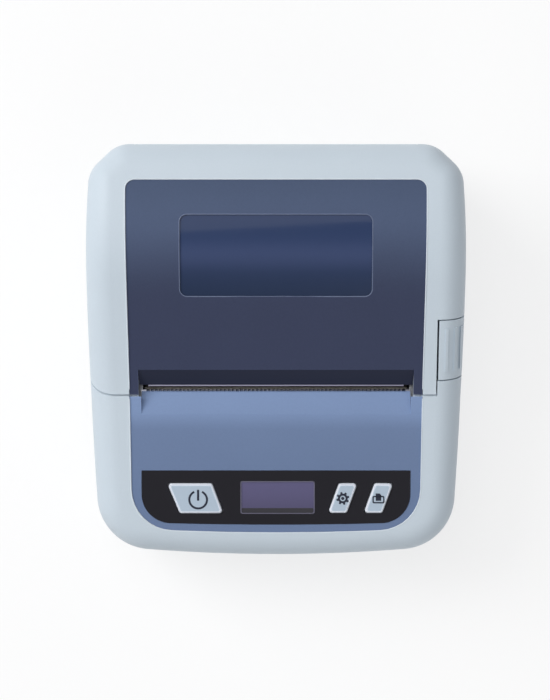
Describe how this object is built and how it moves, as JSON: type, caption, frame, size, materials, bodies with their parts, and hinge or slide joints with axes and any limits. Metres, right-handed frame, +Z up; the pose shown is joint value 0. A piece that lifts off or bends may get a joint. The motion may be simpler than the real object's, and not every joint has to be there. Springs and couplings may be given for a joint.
{
  "type": "portable thermal printer",
  "caption": "Small battery thermal printer with a rear-hinged cover over a paper roll bay, a tear-off slot, a display, push buttons and a release lever.",
  "frame": {"origin": "centre of the underside, on the surface that the feet stand on", "axes": "+Z up, +X to the right seen from the front, +Y towards the hinge of the cover; the controls are at -Y"},
  "size_m": [0.116, 0.127, 0.058],
  "materials": {
    "case_plastic": "fine moulded texture, pale grey",
    "panel_plastic": "fine matte texture, dark slate blue",
    "window_plastic": "glossy tinted navy",
    "deck_plastic": "matte slate blue",
    "gloss_black": "glossy black",
    "display": "display behind a clear face",
    "key_plastic": "satin pale blue grey",
    "steel": "plain steel",
    "aluminium": "machined",
    "rubber": "black rubber",
    "inner_plastic": "moulded black",
    "gear_plastic": "natural white nylon",
    "board": "green circuit board",
    "ceramic": "glazed strip",
    "battery": "satin wrap"
  },
  "bodies": {
    "base": {"bottom_case": "case_plastic", "middle_case": "case_plastic", "rubber_feet": "rubber", "case_screws": "steel", "battery_pack": "battery", "battery_contacts": "steel", "front_deck": "deck_plastic", "control_fascia": "gloss_black", "display_lens": "display", "display_module": "inner_plastic", "button_board": "board", "button_switches": "inner_plastic", "main_board": "board", "board_parts": "inner_plastic", "mechanism_frame": "steel", "head_pin": "steel", "head_springs": "steel", "tear_bar": "steel", "paper_motor": "steel", "idler_pin": "steel", "paper_bucket": "inner_plastic", "paper_sensor": "inner_plastic", "hinge_pins": "steel", "latch_pin": "steel", "latch_spring": "steel", "usb_port": "steel", "flap_pin": "steel"},
    "cover": {"cover_shell": "case_plastic", "cover_panel": "panel_plastic", "cover_window": "window_plastic", "cover_lip": "panel_plastic", "cover_edge_strip": "aluminium", "cover_liner": "inner_plastic", "cover_screws": "steel", "platen_bushes": "gear_plastic"},
    "platen": {"platen_shaft": "steel", "platen_roller": "rubber", "platen_gear": "gear_plastic"},
    "idler": {"idler_gear": "gear_plastic"},
    "motor_rotor": {"motor_pinion": "gear_plastic"},
    "head": {"print_head": "ceramic", "head_heat_sink": "aluminium"},
    "lever": {"latch_lever": "case_plastic"},
    "power_key": {"power_button": "key_plastic"},
    "settings_key": {"settings_button": "key_plastic"},
    "feed_key": {"feed_button": "key_plastic"},
    "left_guide": {"guide_left": "inner_plastic"},
    "right_guide": {"guide_right": "inner_plastic"},
    "guide_gear": {"guide_pinion": "gear_plastic"},
    "door": {"battery_door": "case_plastic"},
    "flap": {"port_flap": "rubber"}
  },
  "joints": [
    {"name": "cover_hinge", "type": "hinge", "parent": "base", "child": "cover", "pos_m": [0, 0.05875, 0.05], "axis": [-1, 0, 0], "range_deg": [0, 88]},
    {"name": "platen_spin", "type": "hinge", "parent": "cover", "child": "platen", "pos_m": [0, -0.00555, 0.0385], "axis": [1, 0, 0], "continuous": true},
    {"name": "idler_spin", "type": "hinge", "parent": "base", "child": "idler", "pos_m": [-0.0456, -0.00315, 0.02511], "axis": [1, 0, 0], "continuous": true},
    {"name": "motor_spin", "type": "hinge", "parent": "base", "child": "motor_rotor", "pos_m": [-0.0456, -0.01004, 0.01528], "axis": [1, 0, 0], "continuous": true},
    {"name": "head_rock", "type": "hinge", "parent": "base", "child": "head", "pos_m": [0, -0.01149, 0.02935], "axis": [1, 0, 0], "range_deg": [0, 1.5], "stiffness_Nm_per_rad": 0.3, "springref_deg": -1.72},
    {"name": "lever_tip", "type": "hinge", "parent": "base", "child": "lever", "pos_m": [0.0523, 0.00568, 0.02981], "axis": [0, 0.9659, 0.2588], "range_deg": [0, 10], "stiffness_Nm_per_rad": 0.05, "springref_deg": -5.73},
    {"name": "power_press", "type": "slide", "parent": "base", "child": "power_key", "axis": [0, 0.1115, -0.9938], "range_m": [0, 0.0008], "stiffness_N_per_m": 300, "springref_m": -0.0005},
    {"name": "settings_press", "type": "slide", "parent": "base", "child": "settings_key", "axis": [0, 0.1115, -0.9938], "range_m": [0, 0.0008], "stiffness_N_per_m": 300, "springref_m": -0.0005},
    {"name": "feed_press", "type": "slide", "parent": "base", "child": "feed_key", "axis": [0, 0.1115, -0.9938], "range_m": [0, 0.0008], "stiffness_N_per_m": 300, "springref_m": -0.0005},
    {"name": "left_guide_slide", "type": "slide", "parent": "base", "child": "left_guide", "axis": [1, 0, 0], "range_m": [0, 0.011]},
    {"name": "right_guide_slide", "type": "slide", "parent": "base", "child": "right_guide", "axis": [-1, 0, 0], "range_m": [0, 0.011]},
    {"name": "guide_gear_turn", "type": "hinge", "parent": "base", "child": "guide_gear", "pos_m": [0, 0.00964, 0.01069], "axis": [0, -0.7071, -0.7071], "range_deg": [-132, 0]},
    {"name": "door_slide", "type": "slide", "parent": "base", "child": "door", "axis": [0, -1, 0], "range_m": [0, 0.008]},
    {"name": "flap_swing", "type": "hinge", "parent": "base", "child": "flap", "pos_m": [-0.0557, -0.03045, 0.024], "axis": [0, 0, -1], "range_deg": [0, 95]}
  ],
  "couplings": [
    {"joint": "idler_spin", "follows": "platen_spin", "ratio": -0.7},
    {"joint": "motor_spin", "follows": "platen_spin", "ratio": 1.4},
    {"joint": "right_guide_slide", "follows": "left_guide_slide", "ratio": 1},
    {"joint": "guide_gear_turn", "follows": "left_guide_slide", "rad_per_m": -208.33}
  ]
}
